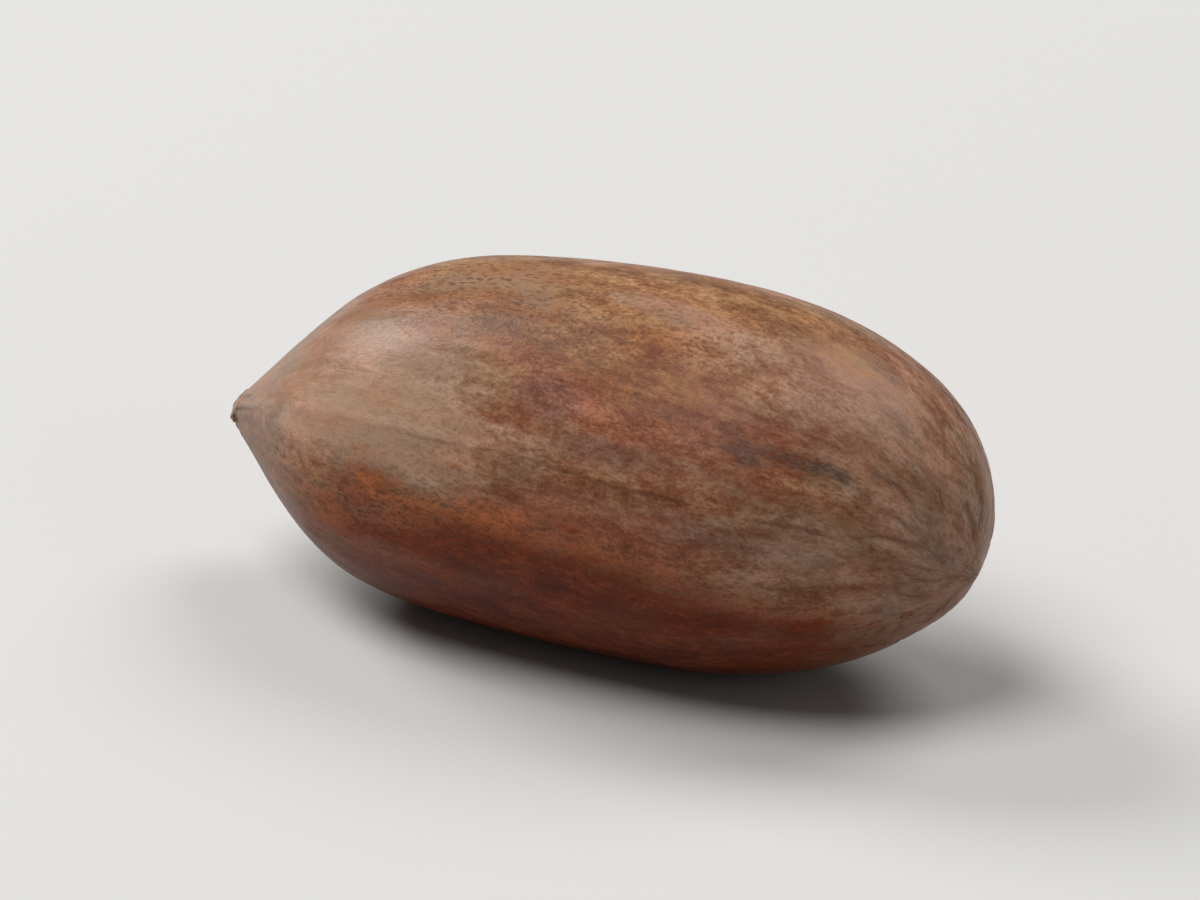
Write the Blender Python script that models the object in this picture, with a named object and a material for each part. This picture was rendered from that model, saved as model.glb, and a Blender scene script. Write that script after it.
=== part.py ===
"""A pecan nut in its closed shell, lying on its side: one solid, in metres, +Z up.

The nut points along X, with its tip at -X and its stalk end at +X. The origin is the middle of its box,
on the surface that it lies on. A place on the shell is given by two numbers: its station, from 0 at the
tip to 1 at the stalk end, and its turn about the long axis, in degrees from the first seam.
"""

import math

import bpy
import numpy as np

# Overall form.
LENGTH = 0.0450
WIDTH = 0.0207
BROADER_SIDEWAYS = 1.03
WIDEST_STATION = 0.603
FRONT_TAPER = 0.26
BASE_BLUNTNESS = 2.2
APEX_SLOPE = 0.895
SHOULDER_SHARPNESS = 6.0

# How the long axis wanders: a bow, a drooping tip, a stalk end bent down, a twist, and a tilt, tip down.
BOW_RISE = 0.0004
TIP_DROOP = 0.00125
TIP_DROOP_REACH = 0.30
BASE_BEND = 18.0
BEND_STATION = 0.83
TWIST = 18.0
TILT = 2.0

# The blunt stub at the tip, left by the flower, and the low button where the stalk was.
STUB_RADIUS = 0.00050
STUB_ROUNDING = 0.00030
BUTTON_HEIGHT = 0.00035
BUTTON_RADIUS = 0.0008

# Four keels meet at the tip. Two of them are the shell's seams, which run its whole length.
SEAM_TURN = 160.0
KEEL_TURNS = (0.0, 85.0, 180.0, 270.0)
KEEL_HEIGHTS = (0.055, 0.045, 0.055, 0.045)
KEEL_REACH = 0.26
KEEL_WIDTH = 16.0
KEEL_CREST = 2.0
FLANK_HOLLOW = 0.35
SEAM_TURNS = (0.0, 180.0)
SEAM_HEIGHT = 0.00009
SEAM_WIDTH = 3.0
SEAM_FAINTEST = 0.35
SEAM_FADE = 1.5

# Folds that gather at the stalk end. Their turns and depths stray from even ones by a sine and a cosine.
FOLD_COUNT = 9
FOLD_DEPTH = 0.00022
FOLD_WIDTH = 6.0
FOLD_REACH = 0.07
FOLD_STRAY = 9.0
FOLD_STRAY_STEP = 2.4
FOLD_DEPTH_SPREAD = 0.35
FOLD_DEPTH_STEP = 1.7

# Slow waves all over: how many go round, the turns that each drifts along the nut, its start and its height.
WAVES = ((2, 0.6, 0.4, 0.00006), (3, -1.1, 1.9, 0.00005), (5, 1.4, 0.8, 0.00004))
CALM_RADIUS = 0.0025

# The small flat spot that it lies on, as the depth pressed in.
FLAT_DEPTH = 0.00012

# Mesh fineness: every keel and seam lies on a line of points.
POINTS_AROUND = 72
RINGS_ALONG = 64

# Keeps a power of a radius that is almost zero from overflowing.
TINY = 1e-7

SHELL_COLOUR = (0.205, 0.098, 0.056, 1.0)
SHELL_ROUGHNESS = 0.5


def clear_scene():
    for old in list(bpy.data.objects):
        bpy.data.objects.remove(old, do_unlink=True)


def half_width(station):
    """The mean radius: a body that tapers forward and rounds off behind, and a cone with a blunt tip."""
    behind = np.clip((station - WIDEST_STATION) / (1 - WIDEST_STATION), 0, 1)
    ahead = np.clip((WIDEST_STATION - station) / WIDEST_STATION, 0, 1)
    rounded = np.sqrt(1 - behind**BASE_BLUNTNESS)
    tapered = 1 - FRONT_TAPER * ahead**2
    body = WIDTH / 2 * np.where(station > WIDEST_STATION, rounded, tapered)
    from_tip = station * LENGTH
    cone = STUB_RADIUS + APEX_SLOPE * from_tip
    power = SHOULDER_SHARPNESS
    nut = (cone**-power + np.maximum(body, TINY) ** -power) ** (-1 / power)
    to_rounding = np.clip(1 - from_tip / STUB_ROUNDING, 0, 1)
    return np.where((station > 0) & (station < 1), nut * np.sqrt(1 - to_rounding**2), 0)


def turn_between(turn, other):
    """The angle from one turn to another, from 0 to 180 degrees."""
    return np.abs((turn - other + 180) % 360 - 180)


def crest(apart, width):
    """A crest that falls off on both sides of its line, with a slightly rounded top."""
    return np.exp(-(np.sqrt(apart**2 + KEEL_CREST**2) - KEEL_CREST) / width)


def keel_share(station, turn):
    """The keels near the tip, as a share of the radius. The flanks between them are a little hollow."""
    near_tip = np.exp(-((station / KEEL_REACH) ** 2)) * (1 - np.exp(-station * LENGTH / STUB_RADIUS))
    share = -FLANK_HOLLOW * max(KEEL_HEIGHTS) * np.ones_like(station)
    for keel_turn, height in zip(KEEL_TURNS, KEEL_HEIGHTS):
        share = share + height * crest(turn_between(turn, keel_turn), KEEL_WIDTH)
    return share * near_tip


def seam_relief(station, turn):
    """The two seams as fine raised lines, which are faintest half way along."""
    strength = SEAM_FAINTEST + (1 - SEAM_FAINTEST) * np.abs(2 * station - 1) ** SEAM_FADE
    return SEAM_HEIGHT * strength * sum(crest(turn_between(turn, seam), SEAM_WIDTH) for seam in SEAM_TURNS)


def fold_relief(station, turn):
    """Shallow creases that run in to the stalk end, unevenly spaced and of uneven depth."""
    depth = np.zeros_like(station)
    for number in range(FOLD_COUNT):
        fold_turn = 360 * (number + 0.5) / FOLD_COUNT + FOLD_STRAY * math.sin(FOLD_STRAY_STEP * number)
        share = 1 - FOLD_DEPTH_SPREAD * (1 - math.cos(FOLD_DEPTH_STEP * number))
        depth = depth + share * crest(turn_between(turn, fold_turn), FOLD_WIDTH)
    return -FOLD_DEPTH * depth * np.exp(-(1 - station) / FOLD_REACH)


def wave_relief(station, turn):
    """Slow swells: a few sines round the nut, each with its own drift along it."""
    swell = np.zeros_like(station)
    for count, drift, start, height in WAVES:
        swell = swell + height * np.sin(count * np.radians(turn) + drift * 2 * math.pi * station + start)
    return swell


def bend_down(station, along, upward):
    """Turns the stalk end down about the start of the bend, by an angle that grows towards the end."""
    past_start = np.clip((station - BEND_STATION) / (1 - BEND_STATION), 0, 1)
    bend = np.radians(BASE_BEND) * past_start**2
    pivot = (BEND_STATION - 0.5) * LENGTH
    ahead = along - pivot
    bent_along = pivot + ahead * np.cos(bend) + upward * np.sin(bend)
    bent_upward = upward * np.cos(bend) - ahead * np.sin(bend)
    return bent_along, bent_upward


def shell_points(station, turn):
    """Places on the shell, in the lying nut's own axes, before it is set down."""
    radius = half_width(station)
    calm = 1 - np.exp(-((radius / CALM_RADIUS) ** 2))
    relief = seam_relief(station, turn) + fold_relief(station, turn) + wave_relief(station, turn)
    radius = radius * (1 + keel_share(station, turn)) + relief * calm
    angle = np.radians(SEAM_TURN + turn + TWIST * (station - 0.5))
    button = BUTTON_HEIGHT * np.exp(-((radius / BUTTON_RADIUS) ** 2)) * (station > WIDEST_STATION)
    along = (station - 0.5) * LENGTH + button
    sideways = radius * np.cos(angle) * BROADER_SIDEWAYS
    rise = BOW_RISE * np.sin(math.pi * station) - TIP_DROOP * np.exp(-station / TIP_DROOP_REACH)
    upward = radius * np.sin(angle) / BROADER_SIDEWAYS + rise
    along, upward = bend_down(station, along, upward)
    tilt = math.radians(TILT)
    return np.stack(
        [
            along * math.cos(tilt) - upward * math.sin(tilt),
            sideways,
            along * math.sin(tilt) + upward * math.cos(tilt),
        ],
        axis=-1,
    )


def set_down(points):
    """Centres the nut over the origin and presses the small flat spot that it lies on."""
    low, high = points.min(axis=0), points.max(axis=0)
    middle = (low + high) / 2
    placed = points - (middle[0], middle[1], low[2] + FLAT_DEPTH)
    placed[:, 2] = np.maximum(placed[:, 2], 0)
    return placed


def shell_material():
    material = bpy.data.materials.new("pecan_shell")
    material.use_nodes = True
    shader = material.node_tree.nodes["Principled BSDF"]
    shader.inputs["Base Color"].default_value = SHELL_COLOUR
    shader.inputs["Roughness"].default_value = SHELL_ROUGHNESS
    shader.inputs["Metallic"].default_value = 0.0
    return material


def make_pecan(collection):
    """A sphere whose points are moved to their places on the shell, pole to tip and pole to stalk end."""
    bpy.ops.mesh.primitive_uv_sphere_add(segments=POINTS_AROUND, ring_count=RINGS_ALONG, radius=1.0)
    pecan = bpy.context.object
    pecan.name = "pecan"
    mesh = pecan.data
    ball = np.empty(len(mesh.vertices) * 3, np.float32)
    mesh.vertices.foreach_get("co", ball)
    ball = ball.reshape(-1, 3).astype(float)
    station = (1 - np.clip(ball[:, 2], -1, 1)) / 2
    turn = -np.degrees(np.arctan2(ball[:, 1], ball[:, 0]))
    placed = set_down(shell_points(station, turn))
    mesh.vertices.foreach_set("co", placed.astype(np.float32).ravel())
    mesh.update()
    mesh.shade_smooth()
    mesh.materials.append(shell_material())
    for owner in list(pecan.users_collection):
        owner.objects.unlink(pecan)
    collection.objects.link(pecan)
    return pecan


def main():
    clear_scene()
    collection = bpy.data.collections.new("pecan_in_shell")
    bpy.context.scene.collection.children.link(collection)
    make_pecan(collection)


main()
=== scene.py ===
"""Finishes the pecan in shell: a fine shell with its markings, on a plain stage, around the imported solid.

A place on the shell is given by its station, from 0 at the tip to 1 at the stalk end, and its turn about
the long axis, in degrees from the first seam. Lengths are in metres.
"""

import math

import bpy
import numpy as np
from bpy.props import FloatProperty, FloatVectorProperty, IntProperty, PointerProperty
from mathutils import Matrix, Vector


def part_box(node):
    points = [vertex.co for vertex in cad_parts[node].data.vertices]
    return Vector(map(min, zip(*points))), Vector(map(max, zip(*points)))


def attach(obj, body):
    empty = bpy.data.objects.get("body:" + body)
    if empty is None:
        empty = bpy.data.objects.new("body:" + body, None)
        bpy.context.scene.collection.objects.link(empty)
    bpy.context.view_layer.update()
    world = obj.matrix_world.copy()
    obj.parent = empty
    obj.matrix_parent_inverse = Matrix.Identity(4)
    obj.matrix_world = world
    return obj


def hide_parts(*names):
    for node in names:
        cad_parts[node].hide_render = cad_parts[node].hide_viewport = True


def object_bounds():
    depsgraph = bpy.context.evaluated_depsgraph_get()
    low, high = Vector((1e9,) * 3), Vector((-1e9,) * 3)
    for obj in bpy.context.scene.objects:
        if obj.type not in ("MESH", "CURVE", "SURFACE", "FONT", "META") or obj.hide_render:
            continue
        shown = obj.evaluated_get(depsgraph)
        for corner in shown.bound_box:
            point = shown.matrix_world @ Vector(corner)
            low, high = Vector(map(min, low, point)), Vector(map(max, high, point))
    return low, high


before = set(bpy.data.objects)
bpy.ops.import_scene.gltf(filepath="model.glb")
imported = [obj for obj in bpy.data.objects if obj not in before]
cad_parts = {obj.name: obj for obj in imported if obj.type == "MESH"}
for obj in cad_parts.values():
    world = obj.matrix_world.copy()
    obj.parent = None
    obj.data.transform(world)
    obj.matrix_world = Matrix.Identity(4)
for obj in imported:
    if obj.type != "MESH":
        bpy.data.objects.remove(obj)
cad_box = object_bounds()

bl_info = {
    "name": "Pecan in shell",
    "version": (1, 0, 0),
    "blender": (4, 5, 0),
    "location": "3D View > Sidebar > Pecan",
    "description": "Builds a whole pecan nut in its shell, with its markings, and a plain stage for it",
    "category": "Add Mesh",
}

NODE = "pecan"
BODY = "root"

# The two seams and the two keels between them, as turns with the height of each as a share of the radius.
SEAM_TURNS = (0.0, 180.0)
KEELS = ((0.0, 0.055), (85.0, 0.045), (180.0, 0.055), (270.0, 0.045))
KEEL_REACH = 0.26
KEEL_WIDTH = 16.0
KEEL_CREST = 2.0
FLANK_HOLLOW = 0.35
SEAM_WIDTH = 3.0
SEAM_FAINTEST = 0.35
SEAM_FADE = 1.5

# Folds that gather at the stalk end. Their turns and depths stray from even ones by a sine and a cosine.
FOLD_COUNT = 9
FOLD_WIDTH = 6.0
FOLD_REACH = 0.07
FOLD_STRAY = 9.0
FOLD_STRAY_STEP = 2.4
FOLD_DEPTH_SPREAD = 0.35
FOLD_DEPTH_STEP = 1.7

# Slow waves: how many go round, the turns that each drifts along the nut, its start and its height.
WAVES = ((2, 0.6, 0.4, 0.00006), (3, -1.1, 1.9, 0.00005), (5, 1.4, 0.8, 0.00004))
CALM_RADIUS = 0.0025

# Fine relief: cells of smooth noise along and around, its seed and its height.
RIPPLES = ((9, 46, 11, 0.000030), (16, 110, 12, 0.000016), (34, 150, 13, 0.000008))
WRINKLES = ((34, 34, 21, 0.00004), (70, 74, 22, 0.000025))
WRINKLE_REACH = 0.085

# The rough scar on the blunt tip: how far it reaches along the nut, and its lumps as in the fine relief.
SCAR_REACH = 0.0011
SCAR_LUMPS = ((120, 11, 24, 0.00022), (260, 23, 25, 0.00011))

# How steeply the scar, the button's worn top and the side with patches end, as powers of a bell.
SCAR_POWER = 6
BUTTON_POWER = 4
SEEN_POWER = 8

# Creases and ridges near both ends, each as the stations and turns that it runs through. The first crease
# ends the seam.
CREASES = (
    ((0.905, -1), (0.920, -1), (0.937, -6), (0.956, -9), (0.974, -14), (0.996, -10)),
    ((0.928, -16), (0.938, -19), (0.949, -20), (0.958, -18), (0.975, -20)),
    ((0.915, -31), (0.942, -34), (0.957, -31)),
    ((0.957, -59), (0.963, -66), (0.974, -77)),
    ((0.951, -72), (0.959, -80), (0.969, -87)),
    ((0.957, -90), (0.968, -97)),
    ((0.957, -46), (0.964, -52), (0.971, -47), (0.973, -38)),
    ((0.961, -37), (0.970, -33)),
    ((0.989, -50), (0.997, -58)),
    ((0.990, -70), (0.996, -72)),
    ((0.955, 26), (0.970, 31), (0.987, 33)),
    ((0.940, 44), (0.972, 50), (0.986, 46)),
    ((0.962, 3), (0.985, 2)),
    ((0.968, 14), (0.990, 14)),
    ((0.026, -20), (0.040, -14), (0.066, -8)),
    ((0.016, 12), (0.030, 6), (0.048, 5), (0.070, 6)),
)
RIDGES = (
    ((0.006, -26), (0.030, -6), (0.068, 1), (0.100, 2)),
    ((0.955, -22), (0.967, -25), (0.984, -27), (0.994, -25)),
    ((0.957, -33), (0.968, -36), (0.978, -44)),
    ((0.975, -64), (0.988, -62)),
)

# The seeded creases: how many, where they start, how long they are, the last station that they reach, and
# how far their turn strays.
SEEDED_CREASES = 46
CREASE_SEED = 27
CREASE_STATIONS = (0.90, 0.985)
CREASE_TURNS = (60.0, 270.0)
CREASE_LENGTHS = (0.008, 0.035)
CREASE_LAST_STATION = 0.996
CREASE_SLANT = 16.0

# Creases and ridges as lines: their width, the steps between two knots, how far in from the ends they may
# lie, how thinly they end, and their height.
LINE_WIDTH = 0.00011
LINE_STEPS = 5
LINE_REACH = 0.12
LINE_THINNING = 0.5
CREASE_DEPTH = 0.00009
RIDGE_HEIGHT = 0.00007

# Keeps a power of a radius that is almost zero from overflowing.
TINY = 1e-7

# Steps in which the way over the shell is measured, and how far the rings draw together towards the ends.
PROFILE_STEPS = 2001
RING_GATHERING = 0.85

# The least radius that the patterns' drum is worked out from, as a share of the widest.
DRUM_LEAST = 0.02

# Where each coat of colour shows: station, turn, half length in stations, half width in degrees, strength.
PATCHES = {
    "crust": (
        (0.00, 0, 0.30, 180, 1.0),
        (1.00, 0, 0.14, 180, 0.9),
        (0.38, -62, 0.22, 26, 1.0),
        (0.55, -70, 0.20, 22, 1.0),
        (0.72, -72, 0.24, 30, 1.0),
        (0.80, -48, 0.14, 16, 1.0),
        (0.64, 0, 0.26, 9, 0.5),
        (0.88, 12, 0.10, 30, 0.8),
        (0.43, -2, 0.12, 14, 1.0),
        (0.48, -18, 0.08, 12, 0.9),
        (0.56, -8, 0.08, 9, 0.6),
        (0.24, 24, 0.10, 10, 0.5),
        (0.42, -42, 0.14, 14, 0.8),
        (0.42, -29, 0.08, 9, 1.0),
    ),
    "pale": (
        (0.04, -30, 0.20, 48, 1.0),
        (0.18, -16, 0.14, 28, 0.95),
        (0.32, -23, 0.12, 10, 1.1),
        (0.32, 1, 0.17, 14, 1.0),
        (0.62, -8, 0.12, 6, 0.5),
        (0.80, -9, 0.10, 6, 0.5),
        (0.70, 8, 0.20, 6, 0.4),
        (0.96, -55, 0.05, 30, 0.5),
        (0.96, 10, 0.05, 30, 0.4),
        (0.42, -4, 0.10, 6, 0.8),
        (0.17, 8, 0.10, 10, 0.7),
        (0.33, -58, 0.06, 9, 0.6),
        (0.28, -34, 0.06, 7, 0.7),
        (0.31, -4, 0.16, 19, 1.2),
        (0.40, -63, 0.08, 10, 1.0),
        (0.66, -58, 0.08, 5, 0.9),
        (0.70, -10, 0.08, 5, 0.5),
        (0.45, -50, 0.06, 6, 0.8),
        (0.36, -54, 0.07, 6, 0.7),
    ),
    "cream": (
        (0.34, -2, 0.13, 16, 1.4),
        (0.43, -5, 0.07, 9, 0.9),
        (0.36, -19, 0.09, 9, 0.5),
        (0.20, 4, 0.08, 10, 0.6),
        (0.41, -3, 0.10, 7, 1.0),
        (0.33, -26, 0.07, 7, 0.4),
        (0.50, -7, 0.06, 4, 0.6),
        (0.66, -58, 0.09, 4, 1.0),
    ),
    "ash": (
        (0.88, -58, 0.11, 26, 1.0),
        (0.97, -20, 0.06, 60, 0.8),
        (0.97, 35, 0.08, 50, 0.8),
        (0.66, -57, 0.07, 5, 1.1),
        (0.78, -52, 0.09, 9, 0.7),
        (0.89, 10, 0.09, 18, 0.8),
    ),
    "ochre": (
        (0.35, -70, 0.12, 12, 0.7),
        (0.57, -51, 0.09, 5, 0.9),
        (0.74, -74, 0.14, 12, 0.8),
        (0.12, 36, 0.08, 14, 0.7),
        (0.48, -66, 0.08, 10, 0.6),
    ),
    "rust": (
        (0.38, -43, 0.11, 9, 1.1),
        (0.50, -39, 0.12, 9, 0.9),
        (0.61, -38, 0.06, 9, 1.25),
        (0.66, -30, 0.09, 8, 0.8),
        (0.53, -83, 0.03, 5, 0.8),
        (0.62, -84, 0.05, 7, 0.6),
        (0.12, 38, 0.06, 10, 1.1),
        (0.18, 42, 0.07, 8, 0.8),
        (0.912, -6, 0.025, 5, 0.4),
        (0.965, -42, 0.012, 11, 0.6),
        (0.42, 8, 0.06, 4, 0.4),
    ),
    "ember": (
        (0.26, 36, 0.05, 8, 1.0),
        (0.33, 20, 0.05, 9, 0.9),
        (0.40, 27, 0.06, 8, 1.0),
        (0.50, 26, 0.07, 9, 0.9),
        (0.55, 17, 0.06, 6, 0.3),
        (0.64, 26, 0.07, 8, 0.7),
    ),
    # The deep red coat: partly the shell's darkest red-brown, partly painted shade on the lower flank and
    # underside.
    "deep": (
        (0.31, 28, 0.07, 6, 0.5),
        (0.42, 27, 0.10, 6, 0.5),
        (0.35, 37, 0.07, 8, 0.9),
        (0.46, 36, 0.12, 10, 1.0),
        (0.60, 37, 0.14, 11, 1.0),
        (0.60, 16, 0.05, 6, 0.35),
        (0.74, 43, 0.12, 8, 1.0),
        (0.85, 48, 0.06, 9, 0.8),
        # Painted shade: this wide patch darkens the whole underside on this side.
        (0.50, 66, 0.34, 24, 1.3),
        (0.965, -42, 0.009, 9, 0.35),
    ),
    "plum": (
        (0.545, -19, 0.045, 7, 1.1),
        (0.64, -9, 0.06, 4, 0.8),
        (0.52, 2, 0.08, 5, 0.4),
        (0.060, 15, 0.030, 6, 0.7),
        (0.77, 8, 0.11, 9, 0.5),
        (0.34, 42, 0.05, 6, 0.7),
        (0.86, -45, 0.05, 6, 0.5),
    ),
    "smudge": (
        (0.800, -20, 0.022, 4.0, 0.80),
        (0.828, -22, 0.022, 3.2, 0.75),
        (0.858, -23, 0.030, 3.5, 0.80),
        (0.885, -25, 0.022, 3.0, 0.7),
        (0.930, -33, 0.020, 4.0, 0.5),
    ),
    "specks": (
        (0.34, -60, 0.15, 20, 1.1),
        (0.15, 34, 0.10, 18, 1.2),
        (0.27, 24, 0.05, 12, 0.8),
        (0.52, -48, 0.16, 16, 1.0),
        (0.70, -52, 0.14, 18, 0.8),
        (0.33, 42, 0.04, 6, 1.0),
        (0.60, -5, 0.28, 34, 0.5),
        (0.42, -44, 0.14, 12, 1.1),
        (0.40, 30, 0.20, 14, 1.3),
        (0.62, 32, 0.14, 12, 0.7),
        (0.78, 28, 0.12, 14, 0.5),
        (0.87, -24, 0.05, 5, 1.0),
    ),
}

# How widely the bell of a patch spreads, and the most that a coat's share can be.
PATCH_SPREAD = 1.4
MOST_SHARE = 1.1

# The side that the patches cover: the turn in its middle, and its reach to both sides in degrees.
SEEN_TURN = -5.0
SEEN_REACH = 105.0

# On the other side smooth noise sets the coats: its cells along and around, its seed, height and mean.
CLOUDS = {
    "crust": (5, 13, 33, 0.45, 0.60),
    "pale": (6, 12, 37, 0.50, -0.20),
    "cream": (6, 13, 40, 0.60, -0.30),
    "ash": (6, 11, 38, 0.50, -0.20),
    "ochre": (7, 18, 31, 0.50, 0.25),
    "rust": (9, 22, 32, 0.70, 0.10),
    "ember": (7, 17, 41, 0.80, -0.20),
    "deep": (5, 13, 36, 0.60, 0.05),
    "plum": (8, 20, 34, 0.60, 0.00),
    "smudge": (10, 26, 35, 1.20, -0.55),
    "specks": (7, 16, 39, 0.50, 0.45),
}

# Coats that gather at one end on that side: the end's station and how far they reach from it. Their share
# is the same at both ends.
END_COATS = {"pale": (0.0, 0.27), "ash": (1.0, 0.16)}
END_SHARE = 0.9

# How much of the seam's dark line shows: the least on the near side, where it is full there, how steeply it
# fades from that, and the share on the far side.
SEAM_LINE_LEAST = 0.12
SEAM_LINE_STATION = 0.66
SEAM_LINE_REACH = 0.26
SEAM_LINE_POWER = 4
SEAM_LINE_FAR = 0.7

# How much the ash coat calms the grain, next to the pale one.
CALM_ASH = 0.6

# Layers of noise on the shell: stretch along it as a share, scale, detail, roughness and distortion. Each is
# moved aside by its number in the list times the shift.
LAYERS = {
    "cloud": (0.40, 240, 4, 0.60, 0.0),
    "tint": (0.50, 430, 3, 0.55, 0.2),
    "patch": (0.50, 640, 3, 0.58, 0.2),
    "streak": (0.13, 1300, 4, 0.62, 0.4),
    "hair": (0.07, 1500, 2, 0.50, 0.3),
    "mottle": (0.60, 2300, 3, 0.60, 0.2),
    "fibre": (0.10, 4600, 3, 0.60, 0.3),
    "dash": (0.45, 5200, 3, 0.60, 0.3),
    "grit": (0.75, 6200, 2, 0.60, 0.0),
}
LAYER_SHIFT = (0.31, 0.17, 0.23)

# How strongly each layer tears the edge of a coat.
SOFT = {"cloud": 0.9, "patch": 0.5, "streak": 0.4, "mottle": 0.3}
STREAKY = {"cloud": 0.6, "patch": 0.9, "streak": 0.6, "fibre": 0.4, "mottle": 1.2, "grit": 0.9}
MOTTLED = {"cloud": 1.0, "patch": 1.1, "streak": 0.5, "fibre": 0.3, "mottle": 1.3, "grit": 0.9}
BROKEN = {"patch": 0.8, "fibre": 1.6, "mottle": 1.2, "grit": 0.8}

# A band gives two levels of a value and the share at each, which are 0 and 1 if they aren't given.
# An edge is torn less where a coat's share is low.
TEAR_BAND = (0.0, 0.3, 0.6, 1.0)

# The coats from the lowest up: its edges, how soft they are, and how much of it covers what is under it.
COATS = {
    "crust": (STREAKY, 0.28, 1.0),
    "pale": (SOFT, 0.34, 1.0),
    "cream": (SOFT, 0.32, 1.0),
    "ash": (SOFT, 0.34, 1.0),
    "ochre": (STREAKY, 0.24, 0.9),
    "rust": (MOTTLED, 0.26, 0.9),
    "ember": (MOTTLED, 0.28, 1.0),
    "deep": (MOTTLED, 0.24, 1.0),
    "plum": (SOFT, 0.32, 0.8),
    "smudge": (BROKEN, 0.34, 0.8),
}

# How much each layer lightens and darkens the colour, as a share, what it does to red, green and blue, and
# how much less of it there is where the grain is calm. Then the warmer and cooler tints.
TONES = {"patch": 0.28, "streak": 0.10, "mottle": 0.25, "fibre": 0.07, "grit": 0.22}
TONE_BAND = (0.34, 0.66)
TONE_POWERS = (0.85, 1.08, 1.25)
CALM_LOSS = 0.82
TINT_BAND = (0.36, 0.64)
WARM = (1.06, 0.975, 0.95, 1.0)
COOL = (0.94, 1.02, 1.05, 1.0)

# Bands of the dark specks, and of the hairlines and where a cloud and a mottle let them show.
SPECK_BAND = (0.39, 0.47, 0.65, 0.0)
HAIR_BAND = (0.0, 0.012, 0.42, 0.0)
HAIR_CLOUD_BAND = (0.42, 0.62)
HAIR_MOTTLE_BAND = (0.40, 0.60)

# The seam's dark line: how far it wanders, its band in metres from its middle, and its breaks.
SEAM_WANDER = 0.0014
SEAM_LINE_BAND = (0.00003, 0.00020, 0.65, 0.0)
SEAM_BREAK_BAND = (0.40, 0.60, 0.15, 0.85)

# How dark the creases are painted, as shade in their hollows, and how pale the ridges, as painted highlight
# on their crests.
CREASE_SHADE_BAND = (0.35, 0.60, 0.15, 0.60)
RIDGE_HIGHLIGHT_BAND = (0.35, 0.60, 0.20, 0.60)

# The worn tip and button: scale, detail and roughness of their noise, the share of the lumps in it, its band,
# the button's share and how much of it all covers the coats. Where the scar's lumps are low the pits are
# dark, partly painted shade, and where they are high the flecks are pale, partly painted highlight.
WORN_NOISE = (4200, 3, 0.6)
WORN_LUMPS = 0.35
WORN_BAND = (0.40, 0.60)
WORN_BUTTON = 0.6
WORN_COVER = 0.85

# The surface: how much of each layer is in the fine grain's height, the bump's strength, and the band of
# the roughness with how far it goes below and above its mean.
GRAIN = {"patch": 1.5, "streak": 0.8, "mottle": 1.0, "grit": 0.6}
BUMP_STRENGTH = 0.7
ROUGH_BAND = (0.3, 0.7)
ROUGH_SPREAD = (0.06, 0.08)

# The stage: each lamp's azimuth and elevation in degrees, its size, and the setting that holds its power.
LAMPS = {
    "left_light": (-101, 36, 0.70, "key_power"),
    "back_light": (166, 52, 1.00, "rim_power"),
    "top_light": (-30, 66, 1.00, "top_power"),
    "right_light": (75, 18, 1.00, "fill_power"),
}
LAMP_DISTANCE = 1.50
PAPER_ROUGHNESS = 0.7
PAPER_GLOSS = 0.2
SKY_COLOUR = (1.0, 0.99, 0.97)
SENSOR_WIDTH = 36.0
NEAREST_SEEN = 0.01
FARTHEST_SEEN = 20.0


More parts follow.
